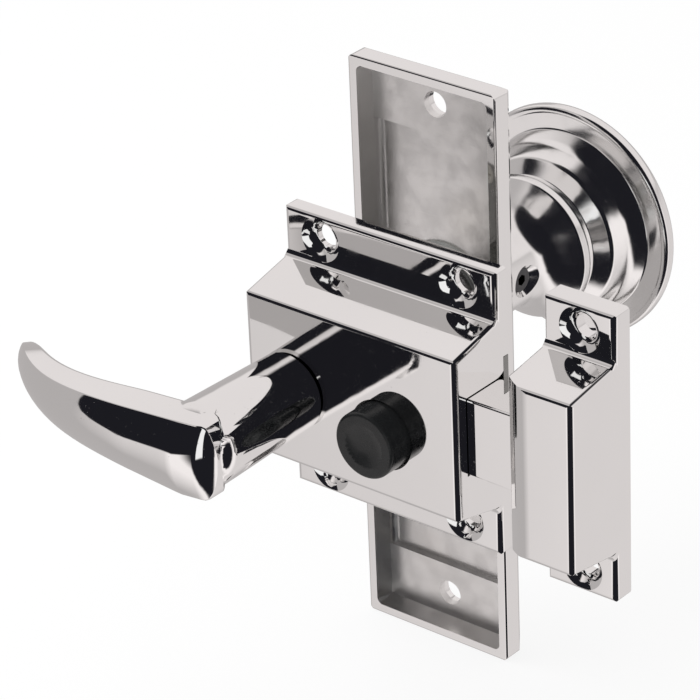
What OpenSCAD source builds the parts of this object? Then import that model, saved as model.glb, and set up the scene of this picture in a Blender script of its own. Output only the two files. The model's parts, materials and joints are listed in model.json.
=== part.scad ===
// Rim latch for a screen or cupboard door: a cast case with a lever and a push snib on the room side,
// a spring bolt with its strike, and a plate with a round knob on the outside.
// X runs along the door towards the strike, Y runs from the room into the door, Z is up.
// The origin is the middle of the case's back, on the face of the door. Lengths are millimetres.

/* [Case] */
// Width of the case along the door
case_w = 52; // [50:1:60]
// Height of the case over both flanges
case_h = 62; // [58:1:72]
// Depth of the case from its front face to the door
case_d = 16.5; // [16:0.5:20]
// Thickness of the screw flanges
flange_t = 3.5; // [2.5:0.5:5]
// Height of each screw flange
flange_h = 10.5; // [9:0.5:12]
// Height of the flat front face
front_h = 35; // [33:1:38]
// Wall of the case at its sides and slopes
wall = 2.4; // [2:0.1:2.6]
// Wall of the case at its front
front_wall = 2.5; // [2:0.1:2.8]
// Radius on the long edges of the case and the strike
edge_r = 1.2; // [0.5:0.1:1.6]
// Radius of the inner corner between a flange and its slope
root_r = 1.6; // [0.5:0.1:2.5]

/* [Fixing screws] */
// Diameter of the fixing holes in the case and the strike
screw_hole_d = 4.8; // [4:0.1:5.4]
// Diameter of the countersink at the surface
screw_csk_d = 9.4; // [8:0.1:9.8]
// Distance between the case's fixing holes along the door
case_screw_gap = 34; // [30:1:38]

/* [Spindle and lever] */
// Distance of the spindle from the middle of the case, away from the bolt
spindle_offset = 15; // [14.5:0.1:15.2]
// Distance of the spindle below the middle of the case
spindle_drop = 1; // [0:0.25:2]
// Side of the square spindle
spindle_s = 6; // [5:0.5:6.5]
// Diameter of the lever's shank in the case
shank_d = 13; // [12:0.25:13.5]
// Diameter of the lever's neck at the case
neck_d = 16.5; // [15:0.5:18]
// Diameter of the lever's neck where it meets the blade
neck_top_d = 18; // [17:0.2:20]
// Distance from the spindle to the tip of the blade
lever_reach = 55.2; // [45:0.2:70]
// Distance from the case's front to the middle of the blade
lever_stand = 30.4; // [25:0.2:40]
// Height of the blade at the neck
blade_h = 16.2; // [14:0.2:18]
// Thickness of the blade at the neck
blade_t = 10.6; // [8:0.2:12]
// Height of the blade near its tip
tip_h = 7.2; // [5:0.2:12]
// Thickness of the blade near its tip
tip_t = 5.6; // [4:0.2:8]
// Distance by which the tip bends back towards the door
tip_back = 13.5; // [0:0.5:15]
// Part of the blade that is straight, from the spindle
blade_straight = 15; // [10:1:25]

/* [Bolt] */
// Height of the bolt
bolt_h = 16.6; // [14:0.2:17]
// Distance of the bolt's front behind the case's front
bolt_set_back = 3.3; // [3:0.1:3.6]
// Length of the bolt that stands out of the case
bolt_throw = 13.5; // [13.2:0.1:15]
// Thickness of the bolt's shank inside the case
bolt_shank_t = 3.7; // [3.5:0.1:3.8]
// Thickness of the forked tail
tail_t = 1.8; // [1.5:0.1:2]
// Travel of the bolt for a full turn of the lever
bolt_stroke = 10.5; // [9:0.1:10.6]

/* [Snib] */
// Diameter of the push button
button_d = 14; // [12:0.5:14]
// Length of the button that stands out of the case
button_out = 5.6; // [4:0.2:7]
// Travel of the button
snib_travel = 3; // [2.5:0.1:3]
// Distance of the button from the middle of the case, towards the bolt
snib_offset = 7.5; // [7:0.1:7.6]
// Distance of the button below the middle of the case
snib_drop = 3.9; // [3:0.1:4.2]
// Diameter of the steel lock pin
lock_pin_d = 4; // [3:0.1:4.2]

/* [Strike] */
// Distance between the case and the strike
strike_gap = 12.5; // [12:0.1:13]
// Width of the strike
strike_w = 16.1; // [14:0.1:22]
// Depth of the strike
strike_d = 18.6; // [18:0.2:21]
// Thickness of the strike's lugs
lug_t = 4.8; // [3.5:0.1:6]
// Height of each strike lug
lug_h = 10.5; // [9.5:0.5:12]
// Height of the strike's flat front
strike_front_h = 36.8; // [33:0.2:38]
// Width of the sloping lip that the bolt rides over
lip_w = 3.8; // [3:0.1:4.2]
// Depth of the lip's slope
lip_drop = 2.4; // [1.5:0.1:2.8]

/* [Outside plate] */
// Space for the door between the case and the outside plate
door_t = 26.5; // [22:0.5:45]
// Width of the outside plate
plate_w = 37; // [34:1:50]
// Height of the outside plate
plate_h = 130; // [120:1:160]
// Depth of the hollow in the outside plate
pan_depth = 6; // [5:0.25:8]
// Thickness of the outside plate's floor
floor_t = 1.5; // [1.2:0.1:2.5]
// Width of the outside plate's rim
rim_w = 2; // [1.5:0.1:3]
// Distance of the plate's middle below the spindle
plate_drop = 13.5; // [0:0.5:20]
// Distance between the plate's fixing holes
plate_screw_gap = 113.5; // [108:0.5:115]
// Diameter of the plate's fixing holes
plate_hole_d = 5.6; // [4.5:0.1:6]
// Length of the raised pad at each end of the plate
pad_l = 13; // [10:0.5:16]
// Height of the raised pads
pad_t = 1.5; // [1:0.1:2]

/* [Knob] */
// Diameter of the knob
knob_d = 52; // [46:0.2:60]
// Diameter of the knob's neck
knob_neck_d = 20; // [19:0.5:22]
// Distance from the plate to the knob's widest part
knob_stand = 41; // [36:0.5:50]
// Width of the band around the knob's rim
knob_band = 3; // [2:0.25:5]
// Height of the knob's crown beyond its rim
crown_h = 9; // [5:0.5:14]
// Distance of the grub screw from the plate
grub_from_plate = 12.8; // [11:0.2:14]
// Diameter of the grub screw
grub_d = 5; // [4:0.5:6]

/* [Hidden] */
$fn = 64;

// Clearances: turning fits, sliding fits, seated pieces, near faces, flush faces, and cuts past a surface
run_gap = 0.06;
slide_gap = 0.2;
seat_gap = 0.05;
face_gap = 0.3;
flush_gap = 0.1;
cut = 1;
weld = 0.01;

// Places that several pieces share
spindle_x = -spindle_offset;
spindle_z = -spindle_drop;
snib_x = snib_offset;
snib_z = -snib_drop;
front_y = -case_d;
inner_front_y = front_y + front_wall;
side_x = case_w / 2;
inner_x = side_x - wall;
screw_z = (case_h - flange_h) / 2;

// Back plate
back_t = 1.5;
back_rim = 1.4;
back_half_x = side_x - back_rim;
back_y = -back_t;
tongue_half_z = 12.4;
back_screw_in = 6.5;
back_screw_x = side_x - back_screw_in;
back_screw_r = 1.2;
back_head_r = 2.2;
back_head_t = 1;
back_screw_l = 7;
cross_half = 1.4;
cross_w = 0.5;
cross_deep = 0.5;
post_r = 2.1;
post_bite = 0.8;
hole_bevel = 0.4;

// Half height of the case's box at a depth y, and the same inside its wall
slope_run = case_h / 2 - flange_h - front_h / 2;
function box_half(y) = front_h / 2 + slope_run * (y + case_d) / (case_d - flange_t);
function inner_half(y) = box_half(y) - wall;
back_half_z = box_half(0) - back_rim;
back_screw_z = inner_half(back_y) - post_r + post_bite;

// Layers of the mechanism from the back plate to the front
tail_back_y = back_y - face_gap;
tail_front_y = tail_back_y - tail_t;
shank_front_y = tail_back_y - bolt_shank_t;
arm_gap = 0.4;
arm_back_y = shank_front_y - arm_gap;
arm_t = 3.6;
arm_front_y = arm_back_y - arm_t;
lock_lug_y = shank_front_y - snib_travel + slide_gap;
bridge_back_y = lock_lug_y - face_gap;
bridge_t = 0.8;
bridge_front_y = bridge_back_y - bridge_t;

// Lever shank and hub
neck_gap = 0.4;
neck_y = front_y - neck_gap;
washer_t = 0.5;
clip_t = 0.8;
clip_wide = 1.5;
clip_mouth = 2.8;
groove_deep = 0.8;
groove_lip = 0.6;
washer_y = inner_front_y + seat_gap;
clip_y = washer_y + washer_t + seat_gap;
shank_end_y = clip_y + clip_t + groove_lip;
hub_boss_r = 5.5;
journal_r = 5;
hub_disc_r = 7;
arm_half = 2;
arm_reach = 14;
arm_lean = 40;
drive_r = 12;
drive_pin_r = 1.8;
free_play = 0.35;
socket_gap = 0.05;
socket_s = spindle_s + 2 * socket_gap;
spindle_in = 13;
spindle_front_y = neck_y - spindle_in;
neck_edge = 0.5;
blade_y = front_y - lever_stand;

// Bolt
bolt_front_y = front_y + bolt_set_back;
bolt_tip_x = side_x + bolt_throw;
bolt_step_in = 0.4;
shank_from_snib = 2;
tail_in = 3.6;
notch_in = 4.5;
bolt_step_x = side_x - bolt_step_in;
shank_x = snib_x + shank_from_snib;
tail_root_x = inner_x - tail_in;
notch_x = tail_root_x - notch_in;
notch_half = 2.4;
slot_half = bolt_h / 2 + slide_gap;
slot_flare = 4;
bevel_start = 3;
bevel_x = side_x + bevel_start;
bevel_tip_t = 3.6;
bolt_edge_r = 0.5;
drive_pin_x = spindle_x + drive_r * tan(arm_lean) - (arm_half + drive_pin_r + free_play) / cos(arm_lean);
pin_step = 0.4;
prong_in = 6.2;
prong_edge = 1.4;
prong_out = drive_r + prong_edge;
prong_land = 0.8;
prong_end_x = drive_pin_x - drive_pin_r - prong_land;
prong_root = 3;
rivet_r = 1.4;
rivet_head_r = 2.3;
rivet_head_t = 0.5;
rivet_x = (notch_x + tail_root_x) / 2;
rivet_z = 5.4;

// Springs
spring_wire = 0.5;
spring_r = 1.35;
spring_y = (tail_back_y + shank_front_y) / 2;
spring_lug_gap = 1;
spring_lug_x = spindle_x + hub_boss_r + spring_lug_gap;
spring_lug_t = 1.2;
spring_lug_half = 3;
snib_spring_r = 2.9;
snib_recess = 4;
bolt_spring_turns = 12;
snib_spring_turns = 5;
spring_sides = 8;
spring_steps = 14;

// Snib
button_front_y = front_y - button_out;
button_edge_r = 0.7;
dimple_r = 13;
dimple_deep = 0.9;
ear_y = inner_front_y + slide_gap;
ear_t = 1.2;
ear_out = 1.2;
button_back_y = ear_y + ear_t;
ear_r = button_d / 2 + ear_out;
lock_pin_in = 2;
lock_pin_y = button_back_y - snib_recess - lock_pin_in;
lock_pin_end_y = bridge_back_y - flush_gap;
bridge_half_x = 4;
bridge_side_gap = 0.4;
bridge_half_z = inner_half(bridge_front_y) - bridge_side_gap;
foot_l = 3;
bridge_screw_r = 0.8;
bridge_head_r = 1.4;
bridge_head_t = 0.6;
bridge_screw_l = 3.6;
bridge_slot_w = 0.4;
lug_pass_gap = 2.5;
lock_lug_l = bolt_stroke - lock_pin_d - lug_pass_gap;
lock_lug_x = snib_x + lock_pin_d / 2 + face_gap;

// Strike
strike_x = side_x + strike_gap;
strike_end_x = strike_x + strike_w;
strike_mid_x = strike_x + strike_w / 2;
lip_wall = 2.4;
mouth_gap = 0.5;
mouth_y = bolt_front_y - mouth_gap;
lip_edge = 0.6;
lip_edge_r = 0.8;
lip_blend_r = 8;
lip_side_r = 0.45;
strike_inner_half = strike_front_h / 2 - wall;

// Outside plate and knob
rim_y = door_t;
pan_floor_y = rim_y + pan_depth;
plate_out_y = pan_floor_y + floor_t;
plate_z = spindle_z - plate_drop;
plate_bevel = 2.4;
plate_bevel_h = 3.4;
plate_edge_r = 0.6;
plate_rim_r = 0.5;
plate_corner_r = 1.6;
pan_draft = 0.7;
pan_fillet_r = 1.8;
pan_corner_r = 1.8;
bush_r = 10;
bush_flange_r = 12;
bush_flange_t = 0.8;
spigot_r = 8;
knob_gap = 0.4;
knob_y = plate_out_y + knob_gap;
knob_clip_y = pan_floor_y - bush_flange_t - flush_gap - clip_t;
spigot_y = knob_clip_y - groove_lip;
grub_y = plate_out_y + grub_from_plate;
grub_csk_r = 4;
grub_in = 1.4;
grub_hex_d = 2.5;
grub_hex_deep = 2;
knob_rim_y = plate_out_y + knob_stand;
knob_wall = 14;
knob_socket_y = knob_rim_y - knob_wall;
spindle_end_gap = 1;
spindle_back_y = knob_socket_y - spindle_end_gap;

// Back of the knob from its neck outwards: a flared ring, a groove, a bead, a cove, a flat and the rim
knob_edge = 0.4;
flare_start = 22;
flare_r = 8;
ring_out = 5.7;
ring_front = 16;
ring_back = 14;
ring_r = 0.8;
groove_out = 4.4;
groove_front = 12.6;
groove_back = 11.4;
groove_r = 0.4;
bead_out = 7.7;
bead_front = 9;
bead_r = 1.6;
cove_out = 8.8;
cove_back = 4;
cove_r = 6;
flat_out = 10.8;
flat_back = 1;
flat_r = 0.6;
line_in = 1.7;
line_w = 0.5;
line_deep = 0.5;
rim_back = 1.4;
rim_r = 0.9;
crown_edge_r = 2;
crown_share = 0.62;
crown_rise = 0.86;
crown_r = 12;

// Bars, plates and turned pieces along the main directions
module rod_x(r, x0, x1) { translate([x0, 0, 0]) rotate([0, 90, 0]) cylinder(r = r, h = x1 - x0); }
module rod_y(r, y0, y1) { cone_y(r, r, y0, y1); }
module cone_y(r0, r1, y0, y1) {
    translate([0, y0, 0]) rotate([-90, 0, 0]) cylinder(r1 = r0, r2 = r1, h = y1 - y0);
}
module sheet_y(y0, y1) { translate([0, y1, 0]) rotate([90, 0, 0]) linear_extrude(y1 - y0) children(); }
module sheet_xy(z0, z1) { translate([0, 0, z0]) linear_extrude(z1 - z0) children(); }
module along_x(x0, x1) { translate([x0, 0, 0]) rotate([90, 0, 90]) linear_extrude(x1 - x0) children(); }
module turned_y() { rotate([-90, 0, 0]) rotate_extrude() children(); }
module square_y(half, y0, y1) { block([-half, half], [y0, y1], [-half, half]); }
module block(x, y, z) { translate([x[0], y[0], z[0]]) cube([x[1] - x[0], y[1] - y[0], z[1] - z[0]]); }
module at_spindle() { translate([spindle_x, 0, spindle_z]) children(); }
module at_snib() { translate([snib_x, 0, snib_z]) children(); }

// An outline with some of its corners rounded: each point is [x, y, radius]
arc_steps = 6;
function unit(v) = v / norm(v);
function flat(p) = [p[0], p[1]];
function short_turn(a) = a > 180 ? a - 360 : a < -180 ? a + 360 : a;
function corner(a, b, c, r) =
    let (u = unit(a - b), v = unit(c - b), half = acos(u * v) / 2)
    let (o = b + unit(u + v) * r / sin(half), p = b + u * r / tan(half), q = b + v * r / tan(half))
    let (start = atan2(p.y - o.y, p.x - o.x), end = atan2(q.y - o.y, q.x - o.x))
    let (turn = short_turn(end - start))
    [for (i = [0:arc_steps]) o + r * [cos(start + turn * i / arc_steps), sin(start + turn * i / arc_steps)]];
function rounded(pts) =
    let (n = len(pts))
    [for (i = [0:n - 1])
        each pts[i][2] > 0
            ? corner(flat(pts[(i + n - 1) % n]), flat(pts[i]), flat(pts[(i + 1) % n]), pts[i][2])
            : [flat(pts[i])]];

slab_reach = 2 * case_h;

// Shares of the edge radius, so that no three equal edges meet in one corner
end_share = 0.7;
rim_share = 0.85;
slope_share = 0.93;
fillet_lean = 40;

// Slab behind the plane y = 0, from x[0] to x[1], with its two front edges rounded by r[0] and r[1]
module slab(x, r) {
    sheet_xy(-slab_reach, slab_reach) polygon(rounded([
        [x[0], slab_reach, 0], [x[0], 0, r[0]], [x[1], 0, r[1]], [x[1], slab_reach, 0]]));
}

// The same slab with its face through a point of the section, turned from the front towards the top
module slab_at(p, lean, x, r) {
    translate([0, p[0], p[1]]) rotate([-lean, 0, 0]) slab(x, r);
}

// Flanged box: two flat flanges, two slopes and a flat front, with all edges of both ends rounded
module flanged_box(x, r, h, d, lug, lug_depth, front) {
    intersection() {
        union() {
            sloped_box(x, r, h, d, lug, lug_depth, front);
            for (side = [0, 1]) mirror([0, 0, side]) box_flange(x, r, h, d, lug, lug_depth, front);
        }
        block([x[0] - cut, x[1] + cut], [-d - cut, 0], [-h, h]);
    }
}

module sloped_box(x, r, h, d, lug, lug_depth, front) {
    top = [-d, front / 2];
    rise = (h / 2 - lug - top.y) / (d - lug_depth);
    back = top.y + rise * (d + cut);
    intersection() {
        along_x(x[0], x[1]) polygon(rounded([
            [cut, back, 0], [top.x, top.y, rim_share * edge_r], [top.x, -top.y, rim_share * edge_r],
            [cut, -back, 0]]));
        slab_at(top, 0, x, r);
        slab_at(top, atan(1 / rise), x, slope_share * r);
        mirror([0, 0, 1]) slab_at(top, atan(1 / rise), x, slope_share * r);
    }
}

// Upper flange and the fillet at its root, a little narrower than the box so that their ends don't lie in
// one plane
module box_flange(x, r, h, d, lug, lug_depth, front) {
    end = [-lug_depth, h / 2];
    root = [-lug_depth, h / 2 - lug];
    fillet = [for (p = corner(end, root, [-d, front / 2], root_r)) p + [weld, -weld]];
    start = root.y - 2 * root_r;
    flange_x = [x[0] + weld, x[1] - weld];
    fillet_x = [x[0] + 2 * weld, x[1] - 2 * weld];
    intersection() {
        along_x(flange_x[0], flange_x[1]) polygon(rounded([
            [cut / 2, end.y, 0], [end.x, end.y, rim_share * edge_r], [end.x, start, 0],
            [cut / 2, start, 0]]));
        slab_at(end, 0, flange_x, r);
        slab_at(end, 90, flange_x, end_share * r);
    }
    intersection() {
        along_x(fillet_x[0], fillet_x[1]) polygon(concat(fillet, [root + [root_r, -root_r]]));
        slab_at(fillet[0], fillet_lean, fillet_x, r);
    }
}

// Countersunk hole from a surface at y0 through a flange to the door
module screw_hole(y0) {
    rod_y(screw_hole_d / 2, y0 - cut, cut);
    cone_y(screw_csk_d / 2, screw_hole_d / 2, y0, y0 + (screw_csk_d - screw_hole_d) / 2);
    rod_y(screw_csk_d / 2, y0 - cut, y0);
}

// Section of the hollow inside the case, open to the back
module hollow_section() {
    polygon([[cut, inner_half(cut)], [inner_front_y, inner_half(inner_front_y)],
             [inner_front_y, -inner_half(inner_front_y)], [cut, -inner_half(cut)]]);
}

// Section of the bolt's slot, flared where it meets the back plate
module slot_section() {
    translate([bolt_front_y - slide_gap, -slot_half]) square([cut - bolt_front_y + slide_gap, 2 * slot_half]);
    for (side = [0, 1])
        mirror([0, side]) difference() {
            translate([-slot_flare, slot_half - weld]) square([slot_flare + cut, slot_flare + weld]);
            translate([-slot_flare, slot_half + slot_flare]) circle(slot_flare);
        }
}

// Outline of the back plate, with a tongue that closes the back of the bolt's slot
module back_outline(gap) {
    square([2 * (back_half_x - gap), 2 * (back_half_z - gap)], center = true);
    translate([0, -tongue_half_z + gap]) square([side_x, 2 * (tongue_half_z - gap)]);
}

module at_back_screws() {
    for (x = [-back_screw_x, back_screw_x], z = [-back_screw_z, back_screw_z])
        translate([x, 0, z]) children();
}

module at_bridge_screws() {
    for (side = [-1, 1]) translate([snib_x, 0, side * (bridge_half_z - foot_l / 2)]) children();
}

// Hole through the case's front with a small bevel at its edge
module eased_hole(r) {
    rod_y(r, front_y - cut, inner_front_y + cut);
    cone_y(r + hole_bevel + cut, r, front_y - cut, front_y + hole_bevel);
}

module case_body() {
    flanged_box([-side_x, side_x], [edge_r, edge_r], case_h, case_d, flange_h, flange_t, front_h);
}

module latch_case() {
    color("gainsboro") difference() {
        union() {
            difference() {
                case_body();
                along_x(-inner_x, inner_x) hollow_section();
            }
            intersection() {
                union() {
                    at_back_screws() rod_y(post_r, inner_front_y - cut / 2, back_y - seat_gap);
                    for (side = [0, 1])
                        mirror([0, 0, side])
                            block([snib_x - bridge_half_x, snib_x + bridge_half_x],
                                  [inner_front_y - cut / 2, bridge_front_y - seat_gap],
                                  [bridge_half_z - foot_l, bridge_half_z + wall]);
                }
                case_body();
            }
        }
        sheet_y(back_y - seat_gap, cut) back_outline(0);
        along_x(inner_x - cut, side_x + cut) slot_section();
        at_back_screws() rod_y(back_screw_r + seat_gap, back_y - back_screw_l, cut);
        at_bridge_screws()
            rod_y(bridge_screw_r + seat_gap, bridge_front_y - bridge_screw_l, bridge_front_y + cut);
        at_spindle() eased_hole(shank_d / 2 + run_gap);
        at_snib() eased_hole(button_d / 2 + run_gap);
        for (x = [-case_screw_gap / 2, case_screw_gap / 2], z = [-screw_z, screw_z])
            translate([x, 0, z]) screw_hole(-flange_t);
    }
}

module back_plate() {
    color("silver") difference() {
        union() {
            sheet_y(back_y, 0) back_outline(slide_gap / 2);
            block([spring_lug_x, spring_lug_x + spring_lug_t], [shank_front_y, back_y + cut / 2],
                  [spindle_z - spring_lug_half, spindle_z + spring_lug_half]);
        }
        at_spindle() rod_y(journal_r + run_gap, back_y - cut, cut);
        at_back_screws() {
            rod_y(back_screw_r + seat_gap, back_y - cut, cut);
            cone_y(back_screw_r + seat_gap, back_head_r + seat_gap, -back_head_t - seat_gap, 0);
            rod_y(back_head_r + seat_gap, 0, cut);
        }
    }
}

module back_plate_screws() {
    color("darkgray") at_back_screws() difference() {
        union() {
            rod_y(back_screw_r, back_y - back_screw_l + slide_gap, -back_head_t);
            cone_y(back_screw_r, back_head_r, -back_head_t, 0);
        }
        for (turn = [0, 90])
            rotate([0, turn, 0])
                block([-cross_half, cross_half], [-cross_deep, cut], [-cross_w / 2, cross_w / 2]);
    }
}

module snib_bridge() {
    color("silver") difference() {
        block([snib_x - bridge_half_x + slide_gap, snib_x + bridge_half_x - slide_gap],
              [bridge_front_y, bridge_back_y], [-bridge_half_z, bridge_half_z]);
        at_snib() rod_y(lock_pin_d / 2 + run_gap, bridge_front_y - cut, bridge_back_y + cut);
        at_bridge_screws() rod_y(bridge_screw_r + seat_gap, bridge_front_y - cut, bridge_back_y + cut);
    }
}

module bridge_screws() {
    color("darkgray") at_bridge_screws() difference() {
        union() {
            rod_y(bridge_screw_r, bridge_front_y - bridge_screw_l + slide_gap, bridge_back_y);
            rod_y(bridge_head_r, bridge_back_y, bridge_back_y + bridge_head_t);
        }
        block([-bridge_head_r, bridge_head_r], [bridge_back_y + bridge_head_t / 2, bridge_back_y + cut],
              [-bridge_slot_w / 2, bridge_slot_w / 2]);
    }
}

// Helical spring along Z: wire of radius w on a coil of mean radius r, from 0 to length
function coil_ring(r, w, length, turns, i) =
    let (n = turns * spring_steps, a = 360 * i / spring_steps, z = w + (length - 2 * w) * i / n)
    [for (k = [0:spring_sides - 1])
        let (b = 360 * k / spring_sides)
        [(r + w * cos(b)) * cos(a), (r + w * cos(b)) * sin(a), z + w * sin(b)]];
module coil(r, w, length, turns) {
    n = turns * spring_steps;
    points = [for (i = [0:n]) each coil_ring(r, w, length, turns, i)];
    sides = [for (i = [0:n - 1], k = [0:spring_sides - 1])
        let (m = (k + 1) % spring_sides, a = i * spring_sides, b = a + spring_sides)
        each [[a + k, b + k, b + m], [a + k, b + m, a + m]]];
    first = [for (k = [0:spring_sides - 1]) k];
    last = [for (k = [spring_sides - 1:-1:0]) n * spring_sides + k];
    polyhedron(points, concat(sides, [first, last]));
}

module bolt_spring() {
    start = spring_lug_x + spring_lug_t + seat_gap;
    color("gray") translate([start, spring_y, spindle_z]) rotate([0, 90, 0])
        coil(spring_r, spring_wire / 2, notch_x - seat_gap - start, bolt_spring_turns);
}

module snib_spring() {
    start = button_back_y - snib_recess + seat_gap;
    color("gray") at_snib() translate([0, start, 0]) rotate([-90, 0, 0])
        coil(snib_spring_r, spring_wire / 2, bridge_front_y - seat_gap - start, snib_spring_turns);
}

// Lever blade: sections from the end over the neck to the tip, flat at the top and the back, with a bulging
// front that meets the top in a clear edge
blade_steps = 40;
bulge_steps = 6;
bulge = 0.47;
bulge_edge_r = 0.6;
back_edge_r = 1.2;
blade_in = 1.4;
blade_over = neck_top_d / 2 - blade_in;
neck_round = 4;
over_round = 2.2;
tip_round = 4.5;
edge_round = 3.2;
end_flat = 0.02;
curl_power = 2.9;
function ease(d, r) = d >= r ? 1 : max(end_flat, sqrt(max(0, 1 - pow(1 - d / r, 2))));
function bend_share(d) = max(0, (d - blade_straight) / (lever_reach - blade_straight));
function curl(d) = tip_back * pow(bend_share(d), curl_power);
function blade_half_h(d) = (blade_h + (tip_h - blade_h) * max(0, d) / lever_reach) / 2;
function blade_half_t(d) = (blade_t + (tip_t - blade_t) * bend_share(d)) / 2;
function blade_outline(h, t, share) = rounded(concat(
    [[t, -h, back_edge_r * share], [t, h, back_edge_r * share]],
    [for (i = [bulge_steps:-1:-bulge_steps])
        let (b = i / bulge_steps)
        [-t * (1 - bulge * b * b), h * b, abs(i) == bulge_steps ? bulge_edge_r * share : 0]]));
function blade_ring(i) =
    let (s = (1 - cos(180 * i / blade_steps)) / 2, d = -blade_over + s * (lever_reach + blade_over))
    let (end = d + blade_over, tip = lever_reach - d)
    let (high = ease(end, over_round) * ease(tip, tip_round))
    let (thick = ease(end, edge_round) * ease(tip, tip_round))
    [for (p = blade_outline(blade_half_h(d) * high, blade_half_t(d) * thick, min(high, thick)))
        [-d, blade_y + curl(d) + p.x, p.y]];
module blade() {
    blade_sides = len(blade_ring(0));
    points = [for (i = [0:blade_steps]) each blade_ring(i)];
    sides = [for (i = [0:blade_steps - 1], k = [0:blade_sides - 1])
        let (m = (k + 1) % blade_sides, a = i * blade_sides, b = a + blade_sides)
        each [[a + k, b + m, b + k], [a + k, a + m, b + m]]];
    first = [for (k = [blade_sides - 1:-1:0]) k];
    last = [for (k = [0:blade_sides - 1]) blade_steps * blade_sides + k];
    polyhedron(points, concat(sides, [first, last]));
}

module lever_handle() {
    color("gainsboro") at_spindle() difference() {
        union() {
            turned_y() polygon(rounded([
                [0, blade_y, 0], [neck_top_d / 2, blade_y, neck_round],
                [neck_d / 2, neck_y - neck_edge, 0], [neck_d / 2 - neck_edge, neck_y, 0],
                [shank_d / 2, neck_y, 0], [shank_d / 2, shank_end_y, 0], [0, shank_end_y, 0]]));
            blade();
        }
        difference() {
            rod_y(shank_d / 2 + cut, clip_y - seat_gap, clip_y + clip_t + seat_gap);
            rod_y(shank_d / 2 - groove_deep, clip_y - cut, clip_y + clip_t + cut);
        }
        square_y(socket_s / 2, spindle_front_y - seat_gap, shank_end_y + cut);
    }
}

module lever_washer() {
    color("white") at_spindle() difference() {
        rod_y(shank_d / 2 + clip_wide, washer_y, washer_y + washer_t);
        rod_y(shank_d / 2 + run_gap, washer_y - cut, washer_y + washer_t + cut);
    }
}

// Snap ring with an open end, for a groove in a shaft of radius r
module circlip(r, y0) {
    difference() {
        rod_y(r + clip_wide, y0, y0 + clip_t);
        rod_y(r - groove_deep + seat_gap, y0 - cut, y0 + clip_t + cut);
        block([-clip_mouth / 2, clip_mouth / 2], [y0 - cut, y0 + clip_t + cut], [-r - clip_wide - cut, 0]);
    }
}

module lever_circlip() {
    color("dimgray") at_spindle() circlip(shank_d / 2, clip_y);
}

module hub_cam() {
    color("darkgray") at_spindle() difference() {
        union() {
            rod_y(hub_boss_r, shank_end_y + flush_gap, tail_back_y);
            rod_y(hub_disc_r, arm_front_y, arm_back_y);
            rod_y(journal_r, tail_back_y - cut, -flush_gap);
            for (side = [0, 1])
                mirror([0, 0, side]) rotate([0, arm_lean, 0]) {
                    block([-arm_half, arm_half], [arm_front_y, arm_back_y], [0, arm_reach - arm_half]);
                    translate([0, 0, arm_reach - arm_half]) rod_y(arm_half, arm_front_y, arm_back_y);
                }
        }
        square_y(socket_s / 2, shank_end_y - cut, cut);
    }
}

module spindle() {
    color("darkgray") at_spindle() square_y(spindle_s / 2, spindle_front_y, spindle_back_y);
}

module outside_knob() {
    neck = knob_neck_d / 2;
    rim = knob_d / 2;
    color("gainsboro") at_spindle() difference() {
        turned_y() polygon(rounded([
            [0, spigot_y, 0], [spigot_r, spigot_y, 0], [spigot_r, knob_y, 0],
            [neck - knob_edge, knob_y, 0], [neck, knob_y + knob_edge, 0],
            [neck, knob_rim_y - flare_start, flare_r],
            [neck + ring_out, knob_rim_y - ring_front, ring_r],
            [neck + ring_out, knob_rim_y - ring_back, ring_r],
            [neck + groove_out, knob_rim_y - groove_front, groove_r],
            [neck + groove_out, knob_rim_y - groove_back, groove_r],
            [neck + bead_out, knob_rim_y - bead_front, bead_r],
            [neck + cove_out, knob_rim_y - cove_back, cove_r],
            [neck + flat_out, knob_rim_y - flat_back, flat_r],
            [rim - line_in, knob_rim_y - flat_back, 0],
            [rim - line_in, knob_rim_y - flat_back + line_deep, 0],
            [rim - line_in + line_w, knob_rim_y - flat_back + line_deep, 0],
            [rim - line_in + line_w, knob_rim_y - rim_back, 0], [rim, knob_rim_y - rim_back, rim_r],
            [rim, knob_rim_y + knob_band / 2, crown_edge_r],
            [rim * crown_share, knob_rim_y + crown_h * crown_rise, crown_r], [0, knob_rim_y + crown_h, 0]]));
        difference() {
            rod_y(spigot_r + cut, knob_clip_y - seat_gap, knob_clip_y + clip_t + seat_gap);
            rod_y(spigot_r - groove_deep, knob_clip_y - cut, knob_clip_y + clip_t + cut);
        }
        square_y(socket_s / 2, spigot_y - cut, knob_socket_y);
        translate([0, grub_y, 0]) {
            rod_x(grub_d / 2 + seat_gap, 0, neck + cut);
            translate([neck - (grub_csk_r - grub_d / 2), 0, 0]) rotate([0, 90, 0])
                cylinder(r1 = grub_d / 2, r2 = grub_csk_r + cut, h = grub_csk_r - grub_d / 2 + cut);
        }
    }
}

module knob_circlip() {
    color("dimgray") at_spindle() circlip(spigot_r, knob_clip_y);
}

module knob_grub_screw() {
    start = spindle_s / 2 + seat_gap;
    end = knob_neck_d / 2 - grub_in;
    color("dimgray") at_spindle() translate([0, grub_y, 0]) difference() {
        rod_x(grub_d / 2, start, end);
        translate([end - grub_hex_deep, 0, 0]) rotate([0, 90, 0])
            cylinder(d = grub_hex_d, h = grub_hex_deep + cut, $fn = 6);
    }
}

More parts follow.
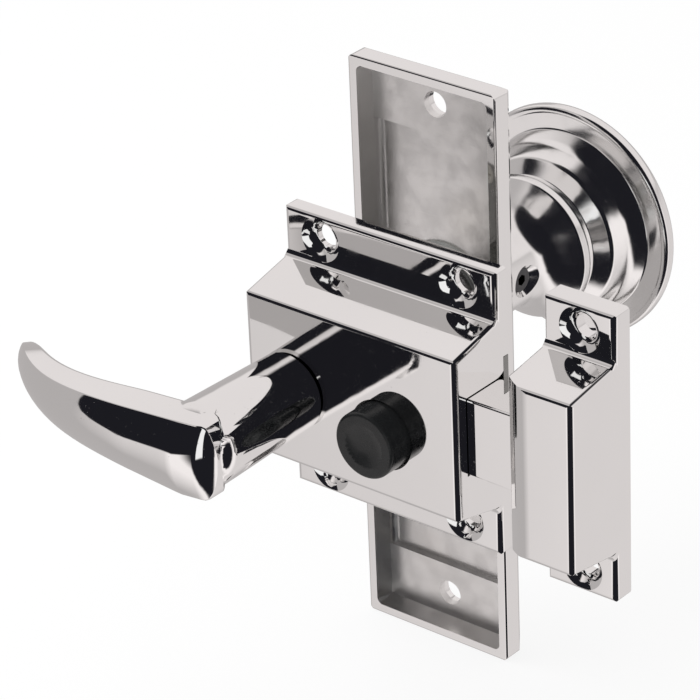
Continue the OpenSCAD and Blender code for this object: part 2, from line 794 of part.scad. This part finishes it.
module latch_bolt() {
    color("gainsboro") difference() {
        union() {
            intersection() {
                sheet_xy(-bolt_h / 2, bolt_h / 2) polygon(rounded([
                    [bolt_step_x, bolt_front_y, 0], [bolt_tip_x, bolt_front_y, bolt_edge_r],
                    [bolt_tip_x, bolt_front_y + bevel_tip_t, bolt_edge_r], [bevel_x, tail_back_y, 0],
                    [shank_x, tail_back_y, 0], [shank_x, shank_front_y, 0],
                    [bolt_step_x, shank_front_y, 0]]));
                along_x(shank_x, bolt_tip_x) polygon(rounded([
                    [cut, -bolt_h / 2, 0], [bolt_front_y, -bolt_h / 2, bolt_edge_r],
                    [bolt_front_y, bolt_h / 2, bolt_edge_r], [cut, bolt_h / 2, 0]]));
            }
            block([lock_lug_x, lock_lug_x + lock_lug_l], [lock_lug_y, shank_front_y + cut],
                  [-bolt_h / 2, spindle_z - notch_half - slide_gap]);
        }
        block([shank_x - cut, tail_root_x + slide_gap], [tail_front_y - seat_gap, cut],
              [-bolt_h / 2 - cut, bolt_h / 2 + cut]);
        spring_notch(lock_lug_y);
        at_rivets() {
            rod_y(rivet_r + seat_gap, shank_front_y - cut, cut);
            rod_y(rivet_head_r + seat_gap, shank_front_y - cut, shank_front_y + rivet_head_t + seat_gap);
        }
    }
}

// Notch for the bolt's spring, through the shank and the tail
module spring_notch(y0) {
    block([shank_x - cut, notch_x], [y0 - cut, cut], [spindle_z - notch_half, spindle_z + notch_half]);
}

module at_rivets() {
    for (z = [-rivet_z, rivet_z]) translate([rivet_x, 0, z]) children();
}

module at_drive_pins() {
    for (side = [-1, 1]) translate([drive_pin_x, 0, spindle_z + side * drive_r]) children();
}

module bolt_tail() {
    color("silver") difference() {
        union() {
            block([shank_x, tail_root_x], [tail_front_y, tail_back_y], [-bolt_h / 2, bolt_h / 2]);
            for (side = [0, 1])
                translate([0, 0, spindle_z]) mirror([0, 0, side])
                    block([prong_end_x, shank_x + prong_root], [tail_front_y, tail_back_y],
                          [prong_in, prong_out]);
        }
        spring_notch(tail_front_y);
        at_rivets() rod_y(rivet_r + seat_gap, tail_front_y - cut, cut);
        at_drive_pins() rod_y(drive_pin_r - pin_step + seat_gap, tail_front_y - cut, cut);
    }
}

module tail_rivets() {
    color("darkgray") at_rivets() {
        rod_y(rivet_head_r, shank_front_y, shank_front_y + rivet_head_t);
        rod_y(rivet_r, shank_front_y, tail_back_y);
    }
}

module drive_pins() {
    color("darkgray") at_drive_pins() {
        rod_y(drive_pin_r, arm_front_y, tail_front_y);
        rod_y(drive_pin_r - pin_step, arm_front_y, tail_back_y);
    }
}

module snib_button() {
    r = button_d / 2;
    color("black") at_snib() difference() {
        union() {
            turned_y() polygon(rounded([
                [0, button_front_y, 0], [r, button_front_y, button_edge_r],
                [r, button_back_y, 0], [0, button_back_y, 0]]));
            intersection() {
                rod_y(ear_r, ear_y, ear_y + ear_t);
                block([flush_gap - r, r - flush_gap], [ear_y - cut, ear_y + ear_t + cut], [-ear_r, ear_r]);
            }
        }
        rod_y(snib_spring_r + spring_wire, button_back_y - snib_recess, button_back_y + cut);
        rod_y(lock_pin_d / 2 + seat_gap, lock_pin_y, ear_y + cut);
        translate([0, button_front_y + dimple_deep - dimple_r, 0]) sphere(r = dimple_r);
    }
}

module lock_pin() {
    color("silver") at_snib() rod_y(lock_pin_d / 2, lock_pin_y + seat_gap, lock_pin_end_y);
}

// Pan of the outside plate: bevelled all round, hollow towards the door
module outside_plate() {
    half_w = plate_w / 2;
    half_h = plate_h / 2;
    color("lightgray") difference() {
        translate([spindle_x, 0, plate_z]) difference() {
            union() {
                difference() {
                    intersection() {
                        sheet_xy(-half_h, half_h) pan_section(half_w);
                        along_x(-half_w, half_w) swapped() pan_section(half_h);
                        plan_sheet(half_w, half_h, plate_corner_r);
                    }
                    intersection() {
                        sheet_xy(-half_h, half_h) hollow_pan(half_w - rim_w);
                        along_x(-half_w, half_w) swapped() hollow_pan(half_h - rim_w);
                        plan_sheet(half_w - rim_w, half_h - rim_w, pan_corner_r);
                    }
                }
                for (side = [0, 1])
                    mirror([0, 0, side])
                        block([-half_w + rim_w + pan_draft / 2, half_w - rim_w - pan_draft / 2],
                              [pan_floor_y - pad_t, pan_floor_y + floor_t / 2],
                              [half_h - rim_w - pad_l, half_h - rim_w]);
            }
            for (side = [-1, 1])
                translate([0, 0, side * plate_screw_gap / 2])
                    rod_y(plate_hole_d / 2, rim_y - cut, plate_out_y + cut);
        }
        at_spindle() rod_y(bush_r, rim_y - cut, plate_out_y + cut);
    }
}

// Outer section of the plate, half as wide as half, with bevelled far edges
module pan_section(half) {
    mirror_y_outline(half, [
        [half, rim_y, plate_rim_r], [half, plate_out_y - plate_bevel_h, plate_edge_r],
        [half - plate_bevel, plate_out_y, plate_edge_r]]);
}

// Section of the plate's hollow, narrower at the floor
module hollow_pan(half) {
    mirror_y_outline(half, [[half, rim_y - cut, 0], [half - pan_draft, pan_floor_y, pan_fillet_r]]);
}

// Sheet through the plate's depth with rounded corners
module plan_sheet(half_x, half_z, r) {
    sheet_y(rim_y - 2 * cut, plate_out_y + cut) polygon(rounded([
        [half_x, half_z, r], [-half_x, half_z, r], [-half_x, -half_z, r], [half_x, -half_z, r]]));
}

// An outline with its two directions exchanged
module swapped() { mirror([1, 0]) rotate(90) children(); }

// A closed outline from its right half
module mirror_y_outline(half, right) {
    n = len(right);
    left = [for (i = [n - 1:-1:0]) [-right[i][0], right[i][1], right[i][2]]];
    polygon(rounded(concat(right, left)));
}

module plate_bush() {
    color("dimgray") at_spindle() difference() {
        union() {
            rod_y(bush_r - seat_gap, pan_floor_y - bush_flange_t, plate_out_y - flush_gap);
            rod_y(bush_flange_r, pan_floor_y - bush_flange_t, pan_floor_y);
        }
        rod_y(spigot_r + run_gap, rim_y, plate_out_y + cut);
    }
}

module strike_case() {
    color("gainsboro") difference() {
        intersection() {
            flanged_box([strike_x, strike_end_x], [lip_side_r, edge_r], case_h, strike_d, lug_h, lug_t,
                        strike_front_h);
            sheet_xy(-case_h, case_h) polygon(rounded([
                [strike_x, cut, 0], [strike_x, lip_drop - strike_d, lip_edge_r],
                [strike_x + lip_w, -strike_d, lip_blend_r], [strike_end_x + cut, -strike_d, 0],
                [strike_end_x + cut, cut, 0]]));
        }
        intersection() {
            sheet_xy(-strike_inner_half, strike_inner_half) polygon([
                [strike_x - cut, cut], [strike_x - cut, mouth_y], [strike_x + lip_edge, mouth_y],
                [strike_x + lip_w, lip_wall - strike_d], [strike_end_x - wall, lip_wall - strike_d],
                [strike_end_x - wall, cut]]);
            along_x(strike_x - cut, strike_end_x) polygon([
                [cut, strike_inner_half + slope_run / 2], [-strike_d, strike_inner_half],
                [-strike_d, -strike_inner_half], [cut, -strike_inner_half - slope_run / 2]]);
        }
        for (z = [-screw_z, screw_z]) translate([strike_mid_x, 0, z]) screw_hole(-lug_t);
    }
}

latch_case();
back_plate();
back_plate_screws();
snib_bridge();
bridge_screws();
bolt_spring();
snib_spring();
lever_handle();
lever_washer();
lever_circlip();
hub_cam();
spindle();
outside_knob();
knob_circlip();
knob_grub_screw();
latch_bolt();
bolt_tail();
tail_rivets();
drive_pins();
snib_button();
lock_pin();
outside_plate();
plate_bush();
strike_case();
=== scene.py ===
"""Looks of the rim latch: finishes of every piece, studio light, floor and the photograph's camera."""
import json
import math

import bpy
from mathutils import Matrix, Vector


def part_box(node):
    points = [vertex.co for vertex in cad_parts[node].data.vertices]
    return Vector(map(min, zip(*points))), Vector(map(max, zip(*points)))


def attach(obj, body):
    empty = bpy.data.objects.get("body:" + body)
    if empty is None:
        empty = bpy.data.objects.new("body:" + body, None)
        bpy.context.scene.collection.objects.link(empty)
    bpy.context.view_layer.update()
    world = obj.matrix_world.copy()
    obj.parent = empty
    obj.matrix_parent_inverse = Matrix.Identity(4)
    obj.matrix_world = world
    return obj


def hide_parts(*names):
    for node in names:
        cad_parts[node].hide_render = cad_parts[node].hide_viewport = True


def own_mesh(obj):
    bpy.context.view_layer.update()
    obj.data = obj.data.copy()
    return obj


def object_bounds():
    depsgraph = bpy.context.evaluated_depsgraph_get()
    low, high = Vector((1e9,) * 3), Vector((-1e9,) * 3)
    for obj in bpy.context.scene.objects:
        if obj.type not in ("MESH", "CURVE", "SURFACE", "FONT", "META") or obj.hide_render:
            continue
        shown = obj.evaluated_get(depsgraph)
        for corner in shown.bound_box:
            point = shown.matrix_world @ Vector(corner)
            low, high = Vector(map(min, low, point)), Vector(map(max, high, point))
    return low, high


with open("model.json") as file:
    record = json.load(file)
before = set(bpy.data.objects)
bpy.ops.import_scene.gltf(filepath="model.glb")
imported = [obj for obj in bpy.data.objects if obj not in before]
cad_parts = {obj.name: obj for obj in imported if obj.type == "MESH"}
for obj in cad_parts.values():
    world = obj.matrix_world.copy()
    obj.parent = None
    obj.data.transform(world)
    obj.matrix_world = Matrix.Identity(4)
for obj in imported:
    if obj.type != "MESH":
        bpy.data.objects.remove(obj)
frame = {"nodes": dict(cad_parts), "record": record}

CAD_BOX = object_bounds()
NODES = frame["nodes"]

MM = 0.001

# Camera, fitted to the photograph: angles in degrees, lengths in metres
CAMERA_AZIMUTH = 40.39
CAMERA_ELEVATION = 28.0
CAMERA_ROLL = -2.47
CAMERA_DISTANCE = 0.788
CAMERA_AIM = Vector((-0.01355, 0.0, 0.001))
LENS_MM = 204.8
SENSOR_MM = 36.0

# Edges that are steeper than this angle in degrees stay sharp; the second is for rims of rounded countersinks
SHARP_ANGLE = 32.0
RIM_ANGLE = 22.0

# Outside plate, in metres: middle, half width and half height inside its rim, and depths of rim and floor
PLATE_X = -15.0 * MM
PLATE_Z = -14.5 * MM
PAN_HALF_X = 16.6 * MM
PAN_HALF_Z = 63.1 * MM
PAN_RIM_Y = 26.6 * MM
PAN_FLOOR_Y = 32.7 * MM

# Lever, in metres: axis, middle of the blade, its end over the neck, its bend and how round its end is
LEVER_X = -15.0 * MM
LEVER_Z = -1.0 * MM
TIP_X = -70.2 * MM
TIP_ROUND = 4.5 * MM
TIP_ROUND_Y = 6.5 * MM
TIP_ROUND_Z = 9.0 * MM
BLADE_Y = -46.9 * MM
BLADE_HALF = 5.32 * MM
BLADE_END_X = -7.4 * MM
BLADE_STRAIGHT = 15.0 * MM
BLADE_BEND = 40.2 * MM
TIP_BACK = 13.5 * MM
CURL_POWER = 2.9
EDGE_ROUND = 3.2 * MM
SOFT_ROUND = 9.0 * MM
END_FLAT = 0.02

# Countersinks, in metres: distances of their axes, inner and outer radius, depth and how far they bulge
CASE_SCREW_X = 17.0 * MM
STRIKE_SCREW_X = 46.55 * MM
SCREW_Z = 25.75 * MM
SINK_INNER = 2.4 * MM
SINK_OUTER = 4.7 * MM
SINK_FRONT_Y = -5.5 * MM
SINK_RISE = 0.36 * MM

# Studio that the chrome mirrors, and the floor: colours, and the floor's half width in metres and own glow
WHITE = (1.0, 1.0, 1.0, 1.0)
STUDIO_TINT = (1.0, 0.952, 0.945)
STUDIO_DARK = (0.013, 0.013, 0.017, 1.0)
STUDIO_SOFT = (0.8, 0.8, 0.8, 1.0)
FLOOR_PAPER = (0.9, 0.9, 0.9, 1.0)
FLOOR_HALF = 2.0
FLOOR_GLOW = 0.85


class Graph:
    """A node tree that is written as short calls."""

    def __init__(self, tree):
        self.tree = tree
        tree.nodes.clear()

    def add(self, kind, **settings):
        node = self.tree.nodes.new(kind)
        for name, value in settings.items():
            setattr(node, name, value)
        return node

    def put(self, socket, value):
        """Sets a socket to a number or colour, or links another socket to it."""
        if isinstance(value, bpy.types.NodeSocket):
            self.tree.links.new(value, socket)
        else:
            socket.default_value = value

    def math(self, operation, a, b=0.0, clamp=False):
        node = self.add("ShaderNodeMath", operation=operation, use_clamp=clamp)
        self.put(node.inputs[0], a)
        self.put(node.inputs[1], b)
        return node.outputs[0]

    def parts(self, vector):
        node = self.add("ShaderNodeSeparateXYZ")
        self.put(node.inputs[0], vector)
        return node.outputs

    def smooth(self, value, low, high, start=0.0, end=1.0):
        node = self.add("ShaderNodeMapRange", interpolation_type="SMOOTHSTEP")
        self.put(node.inputs["Value"], value)
        self.put(node.inputs["From Min"], low)
        self.put(node.inputs["From Max"], high)
        self.put(node.inputs["To Min"], start)
        self.put(node.inputs["To Max"], end)
        return node.outputs["Result"]

    def dot(self, vector, direction):
        node = self.add("ShaderNodeVectorMath", operation="DOT_PRODUCT")
        self.put(node.inputs[0], vector)
        node.inputs[1].default_value = direction
        return node.outputs["Value"]

    def mix(self, share, a, b):
        node = self.add("ShaderNodeMix", data_type="RGBA")
        self.put(node.inputs["Factor"], share)
        self.put(node.inputs[6], a)
        self.put(node.inputs[7], b)
        return node.outputs[2]

    def noise(self, coordinate, scale, detail=2.0, roughness=0.5):
        node = self.add("ShaderNodeTexNoise")
        self.put(node.inputs["Vector"], coordinate)
        node.inputs["Scale"].default_value = scale
        node.inputs["Detail"].default_value = detail
        node.inputs["Roughness"].default_value = roughness
        return node.outputs["Fac"]

    def bump(self, height, distance, strength, normal=None):
        node = self.add("ShaderNodeBump")
        node.inputs["Strength"].default_value = strength
        node.inputs["Distance"].default_value = distance
        self.put(node.inputs["Height"], height)
        if normal is not None:
            self.put(node.inputs["Normal"], normal)
        return node.outputs["Normal"]


def direction(azimuth, elevation):
    """Unit vector towards a place round the object: azimuth 0 is in front, 90 is on the right."""
    a = math.radians(azimuth)
    e = math.radians(elevation)
    return Vector((math.sin(a) * math.cos(e), -math.cos(a) * math.cos(e), math.sin(e)))


def make_camera():
    back = direction(CAMERA_AZIMUTH, CAMERA_ELEVATION)
    right = Vector((math.cos(math.radians(CAMERA_AZIMUTH)), math.sin(math.radians(CAMERA_AZIMUTH)), 0))
    up = back.cross(right)
    roll = math.radians(CAMERA_ROLL)
    tilted_right = right * math.cos(roll) + up * math.sin(roll)
    tilted_up = up * math.cos(roll) - right * math.sin(roll)
    data = bpy.data.cameras.new("camera")
    data.sensor_width = SENSOR_MM
    data.lens = LENS_MM
    data.clip_start = 0.01
    camera = bpy.data.objects.new("camera", data)
    bpy.context.scene.collection.objects.link(camera)
    turn = Matrix((tilted_right, tilted_up, back)).transposed().to_4x4()
    camera.matrix_world = Matrix.Translation(CAMERA_AIM + back * CAMERA_DISTANCE) @ turn
    bpy.context.scene.camera = camera


def stand_in(name, node, body):
    """A new piece with a copy of a node's mesh, which takes the node's place."""
    piece = bpy.data.objects.new(name, NODES[node].data.copy())
    bpy.context.scene.collection.objects.link(piece)
    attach(piece, body)
    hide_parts(node)
    return piece


def ease(distance, radius):
    """Share of the full width at a distance from an end that is rounded over the radius."""
    left = 1 - min(1.0, max(0.0, distance / radius))
    return max(END_FLAT, math.sqrt(1 - left * left))


def lever_point(x, y, z):
    """Place of a point of the lever: softer end over the neck, and a rounder tip, square to the bend."""
    if y < BLADE_Y + BLADE_HALF:
        end = BLADE_END_X - x
        y = BLADE_Y + (y - BLADE_Y) * ease(end, SOFT_ROUND) / ease(end, EDGE_ROUND)
    share = (LEVER_X - BLADE_STRAIGHT - x) / BLADE_BEND
    if share <= 0:
        return x, y, z
    tip = x - TIP_X
    z = LEVER_Z + (z - LEVER_Z) * ease(tip, TIP_ROUND_Z) / ease(tip, TIP_ROUND)
    middle = BLADE_Y + TIP_BACK * share ** CURL_POWER
    slope = TIP_BACK * CURL_POWER / BLADE_BEND * share ** (CURL_POWER - 1)
    off = (y - middle) / (1 + slope * slope) * ease(tip, TIP_ROUND_Y) / ease(tip, TIP_ROUND)
    return x + off * slope, middle + off, z


def make_lever():
    piece = stand_in("lever_casting", "lever_handle", "lever")
    for vertex in piece.data.vertices:
        vertex.co = lever_point(*vertex.co)
    piece.data.update()
    return piece


def sink_point(place, x):
    """Place of a point of a casting whose plain countersinks become rounded mouths."""
    off = Vector((place.x - math.copysign(x, place.x), 0, place.z - math.copysign(SCREW_Z, place.z)))
    share = (off.length - SINK_INNER) / (SINK_OUTER - SINK_INNER)
    if not (0 < share < 1 and SINK_FRONT_Y < place.y < 0):
        return place
    rise = SINK_RISE * 4 * share * (1 - share)
    return place - (off.normalized() + Vector((0, 1, 0))).normalized() * rise


def make_casting(name, node, screw_x):
    piece = stand_in(name, node, "case")
    for vertex in piece.data.vertices:
        vertex.co = sink_point(vertex.co, screw_x)
    piece.data.update()
    return piece


def make_spring(name, node, axis):
    """Spring with a copy of the node's mesh of its own, which takes the node's place."""
    low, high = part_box(node)
    piece = stand_in(name, node, "case")
    length = (high - low).dot(Vector(axis).normalized())
    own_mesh(piece)
    return piece


def even_shading(sharp_angle):
    """Modifier group that joins split faces, shades round forms smooth and keeps real corners sharp."""
    group = bpy.data.node_groups.new("even_shading", "GeometryNodeTree")
    for way in ("INPUT", "OUTPUT"):
        group.interface.new_socket("Geometry", in_out=way, socket_type="NodeSocketGeometry")
    graph = Graph(group)
    start = graph.add("NodeGroupInput")
    joined = graph.add("GeometryNodeMergeByDistance")
    joined.inputs["Distance"].default_value = 0.001 * MM
    plain = graph.add("GeometryNodeRemoveAttribute")
    plain.inputs["Name"].default_value = "custom_normal"
    smooth = graph.add("GeometryNodeSetShadeSmooth", domain="FACE")
    angle = graph.add("GeometryNodeInputMeshEdgeAngle")
    steep = graph.add("FunctionNodeCompare", data_type="FLOAT", operation="GREATER_THAN")
    graph.put(steep.inputs[0], angle.outputs["Unsigned Angle"])
    steep.inputs[1].default_value = math.radians(sharp_angle)
    sharp = graph.add("GeometryNodeSetShadeSmooth", domain="EDGE")
    sharp.inputs["Shade Smooth"].default_value = False
    graph.put(sharp.inputs["Selection"], steep.outputs[0])
    end = graph.add("NodeGroupOutput")
    for a, b in ((start, joined), (joined, plain), (plain, smooth), (smooth, sharp), (sharp, end)):
        graph.tree.links.new(a.outputs[0], b.inputs[0])
    return group


def shade(pieces, sharp_angle):
    group = even_shading(sharp_angle)
    for piece in pieces:
        piece.modifiers.new("even_shading", "NODES").node_group = group
        weighted = piece.modifiers.new("weighted_normals", "WEIGHTED_NORMAL")
        weighted.keep_sharp = True


def material(name):
    made = bpy.data.materials.new(name)
    made.use_nodes = True
    graph = Graph(made.node_tree)
    output = graph.add("ShaderNodeOutputMaterial")
    shader = graph.add("ShaderNodeBsdfPrincipled")
    graph.tree.links.new(shader.outputs["BSDF"], output.inputs["Surface"])
    place = graph.add("ShaderNodeTexCoord").outputs["Object"]
    return made, graph, shader.inputs, place


def chrome(name, low, high):
    """Polished plate on a casting: faint waves, a few pits and a light haze that varies."""
    made, graph, shader, place = material(name)
    tone = graph.noise(place, 35, 3)
    graph.put(shader["Base Color"], graph.mix(tone, (0.83, 0.825, 0.82, 1), (0.88, 0.875, 0.87, 1)))
    shader["Metallic"].default_value = 1.0
    haze = graph.noise(place, 220, 4)
    graph.put(shader["Roughness"], graph.smooth(haze, 0.4, 0.75, low, high))
    waves = graph.bump(graph.noise(place, 90, 1), 0.0004, 0.05)
    pits = graph.smooth(graph.noise(place, 2600, 1), 0.76, 0.80)
    graph.put(shader["Normal"], graph.bump(pits, 0.00005, 0.15, waves))
    return made


def metal(name, colour, low, high, grain, bump):
    made, graph, shader, place = material(name)
    tone = graph.noise(place, 60, 4)
    darker = tuple(0.82 * c for c in colour) + (1,)
    graph.put(shader["Base Color"], graph.mix(tone, darker, colour + (1,)))
    shader["Metallic"].default_value = 1.0
    graph.put(shader["Roughness"], graph.smooth(graph.noise(place, grain, 4), 0.3, 0.7, low, high))
    graph.put(shader["Normal"], graph.bump(graph.noise(place, grain * 2, 3), 0.0001, bump))
    return made


def plastic(name, colour, low, high, grain, bump):
    made, graph, shader, place = material(name)
    tone = graph.noise(place, 150, 4)
    paler = tuple(min(1.0, 1.5 * c + 0.004) for c in colour) + (1,)
    graph.put(shader["Base Color"], graph.mix(tone, colour + (1,), paler))
    shader["Specular IOR Level"].default_value = 0.32
    graph.put(shader["Roughness"], graph.smooth(graph.noise(place, grain / 4, 3), 0.3, 0.7, low, high))
    graph.put(shader["Normal"], graph.bump(graph.noise(place, grain, 2), 0.00008, bump))
    return made


def satin_casting():
    """Outside plate: polished outside and on its rim, dull and mottled in the hollow, with rub marks."""
    made, graph, shader, place = material("satin_casting")
    x, y, z = graph.parts(place)
    aside = graph.math("ABSOLUTE", graph.math("SUBTRACT", x, PLATE_X))
    along = graph.math("ABSOLUTE", graph.math("SUBTRACT", z, PLATE_Z))
    within_x = graph.math("LESS_THAN", aside, PAN_HALF_X)
    within_z = graph.math("LESS_THAN", along, PAN_HALF_Z)
    below_rim = graph.math("GREATER_THAN", y, PAN_RIM_Y)
    above_floor = graph.math("LESS_THAN", y, PAN_FLOOR_Y)
    inside = graph.math("MULTIPLY", within_x, within_z)
    deep = graph.math("MULTIPLY", below_rim, above_floor)
    hollow = graph.math("MULTIPLY", inside, deep)
    cloud = graph.noise(place, 45, 3, 0.5)
    dull = graph.mix(graph.smooth(cloud, 0.3, 0.75), (0.78, 0.77, 0.76, 1), (0.86, 0.85, 0.84, 1))
    warm = graph.math("MULTIPLY", graph.smooth(graph.noise(place, 28, 2), 0.5, 0.75), 0.25)
    dull = graph.mix(warm, dull, (0.74, 0.70, 0.62, 1))
    stretch = graph.add("ShaderNodeMapping")
    graph.put(stretch.inputs["Vector"], place)
    stretch.inputs["Rotation"].default_value = (0.0, 0.9, 0.0)
    stretch.inputs["Scale"].default_value = (90.0, 900.0, 2600.0)
    marks = graph.smooth(graph.noise(stretch.outputs[0], 1.0, 2), 0.68, 0.74)
    dull = graph.mix(graph.math("MULTIPLY", marks, 0.3), dull, (0.93, 0.92, 0.90, 1))
    graph.put(shader["Base Color"], graph.mix(hollow, (0.85, 0.845, 0.84, 1), dull))
    shader["Metallic"].default_value = 1.0
    grain = graph.smooth(graph.noise(place, 260, 4), 0.3, 0.7, 0.30, 0.40)
    graph.put(shader["Roughness"], graph.math("MAXIMUM", graph.math("MULTIPLY", hollow, grain), 0.05))
    skin = graph.math("MULTIPLY", graph.noise(place, 1100, 3), hollow)
    graph.put(shader["Normal"], graph.bump(skin, 0.00012, 0.2))
    return made


def dress_nodes():
    by_slot = {
        "chrome_plate": chrome("chrome_plate", 0.025, 0.07),
        "satin_casting": satin_casting(),
        "zinc_steel": metal("zinc_steel", (0.30, 0.30, 0.29), 0.25, 0.42, 400, 0.1),
        "screw_steel": metal("screw_steel", (0.55, 0.54, 0.50), 0.25, 0.4, 600, 0.1),
        "spring_steel": metal("spring_steel", (0.38, 0.38, 0.39), 0.25, 0.4, 500, 0.1),
        "black_steel": metal("black_steel", (0.10, 0.10, 0.105), 0.35, 0.5, 800, 0.15),
        "black_plastic": plastic("black_plastic", (0.009, 0.0095, 0.010), 0.22, 0.32, 3000, 0.08),
        "dark_nylon": plastic("dark_nylon", (0.30, 0.30, 0.29), 0.45, 0.6, 2000, 0.1),
        "pale_nylon": plastic("pale_nylon", (0.75, 0.74, 0.69), 0.4, 0.55, 2000, 0.08),
    }
    hazy = chrome("hazy_chrome", 0.11, 0.19)
    for part in frame["record"]["subparts"]:
        slots = NODES[part["node"]].data.materials
        slots.clear()
        slots.append(hazy if part["node"] == "outside_knob" else by_slot[part["material_slot"]])


def cone(graph, way, centre, outer, inner, full=1.0):
    """Share that rises from an outer to an inner angle, in degrees, round a direction."""
    outer_cos = math.cos(math.radians(outer))
    inner_cos = math.cos(math.radians(inner))
    return graph.smooth(graph.dot(way, centre), outer_cos, inner_cos, 0.0, full)


def make_world():
    """Pale studio that is dark round the camera and brightest next to that, seen only in reflections. The
    background itself is white."""
    world = bpy.data.worlds.new("studio")
    bpy.context.scene.world = world
    world.use_nodes = True
    graph = Graph(world.node_tree)
    way = graph.add("ShaderNodeTexCoord").outputs["Generated"]
    camera_way = direction(45, -2)
    camera_side = graph.dot(way, camera_way)
    height = graph.dot(way, Vector((0, 0, 1)))
    blob = cone(graph, way, camera_way, outer=61, inner=52)
    over = cone(graph, way, direction(60, 50), outer=58, inner=50)
    ahead = graph.dot(way, direction(10, 0))
    front = graph.smooth(ahead, 0.28, 0.31)
    low = graph.smooth(ahead, 0.26, 0.64, 0.46, -0.29)
    band = graph.math("MULTIPLY", graph.smooth(graph.math("SUBTRACT", height, low), 0.0, 0.04),
                      graph.smooth(height, 0.60, 0.52))
    ahead_band = graph.math("MULTIPLY", band, front)
    dark = graph.math("MAXIMUM", graph.math("MAXIMUM", blob, over), ahead_band, clamp=True)
    glow = graph.math("MINIMUM", graph.math("MAXIMUM", graph.math("ADD", camera_side, 0.655), 0.50), 1.02)
    ceiling = graph.smooth(graph.dot(way, direction(0, 0)), -0.1, 0.4, 0.86, 0.40)
    above = graph.math("MULTIPLY", graph.smooth(height, 0.05, 0.35), ceiling)
    right = cone(graph, way, direction(140, -28), outer=70, inner=25, full=0.76)
    pale = graph.math("MAXIMUM", graph.math("MAXIMUM", glow, above), right)
    aside = graph.math("ABSOLUTE", graph.dot(way, direction(117, 0)))
    tall = graph.math("MULTIPLY", graph.smooth(height, -0.38, -0.34), graph.smooth(height, 0.36, 0.32))
    strip = graph.math("MULTIPLY", graph.smooth(aside, 0.21, 0.18), graph.smooth(camera_side, 0.0, 0.1))
    lamp = graph.math("MULTIPLY", strip, tall)
    tint = graph.add("ShaderNodeVectorMath", operation="SCALE")
    tint.inputs[0].default_value = STUDIO_TINT
    graph.put(tint.inputs["Scale"], pale)
    studio = graph.mix(dark, tint.outputs[0], STUDIO_DARK)
    studio = graph.mix(lamp, studio, WHITE)
    path = graph.add("ShaderNodeLightPath")
    soft = graph.mix(path.outputs["Is Diffuse Ray"], studio, STUDIO_SOFT)
    shown = graph.mix(path.outputs["Is Camera Ray"], soft, WHITE)
    background = graph.add("ShaderNodeBackground")
    graph.put(background.inputs["Color"], shown)
    output = graph.add("ShaderNodeOutputWorld")
    graph.tree.links.new(background.outputs[0], output.inputs["Surface"])


def make_floor():
    low = CAD_BOX[0][2]
    corners = [(x * FLOOR_HALF, y * FLOOR_HALF, low) for x, y in ((-1, -1), (1, -1), (1, 1), (-1, 1))]
    mesh = bpy.data.meshes.new("floor")
    mesh.from_pydata(corners, [], [(0, 1, 2, 3)])
    floor = bpy.data.objects.new("floor", mesh)
    bpy.context.scene.collection.objects.link(floor)
    made = bpy.data.materials.new("floor")
    made.use_nodes = True
    graph = Graph(made.node_tree)
    paper = graph.add("ShaderNodeBsdfDiffuse")
    paper.inputs["Color"].default_value = FLOOR_PAPER
    glow = graph.add("ShaderNodeEmission")
    path = graph.add("ShaderNodeLightPath")
    mixed = graph.add("ShaderNodeMixShader")
    graph.put(mixed.inputs[0], graph.math("MULTIPLY", path.outputs["Is Camera Ray"], FLOOR_GLOW))
    graph.tree.links.new(paper.outputs[0], mixed.inputs[1])
    graph.tree.links.new(glow.outputs[0], mixed.inputs[2])
    output = graph.add("ShaderNodeOutputMaterial")
    graph.tree.links.new(mixed.outputs[0], output.inputs["Surface"])
    mesh.materials.append(made)
    floor.visible_glossy = False


def make_lamp(name, azimuth, elevation, distance, size, power):
    data = bpy.data.lights.new(name, "AREA")
    data.shape = "SQUARE"
    data.size = size
    data.energy = power
    lamp = bpy.data.objects.new(name, data)
    bpy.context.scene.collection.objects.link(lamp)
    way = direction(azimuth, elevation)
    lamp.location = way * distance
    lamp.rotation_euler = way.to_track_quat("Z", "Y").to_euler()
    lamp.visible_glossy = False


bpy.context.scene.view_settings.view_transform = "Standard"
make_camera()
make_world()
make_floor()
make_lamp("top_lamp", azimuth=-60, elevation=60, distance=0.9, size=0.6, power=4.0)
dress_nodes()
smooth_pieces = [
    make_lever(),
    make_spring("bolt_coil", "bolt_spring", (1, 0, 0)),
    make_spring("snib_coil", "snib_spring", (0, -1, 0)),
]
castings = [
    make_casting("case_casting", "latch_case", CASE_SCREW_X),
    make_casting("strike_casting", "strike_case", STRIKE_SCREW_X),
]
shade(list(NODES.values()) + smooth_pieces, SHARP_ANGLE)
shade(castings, RIM_ANGLE)
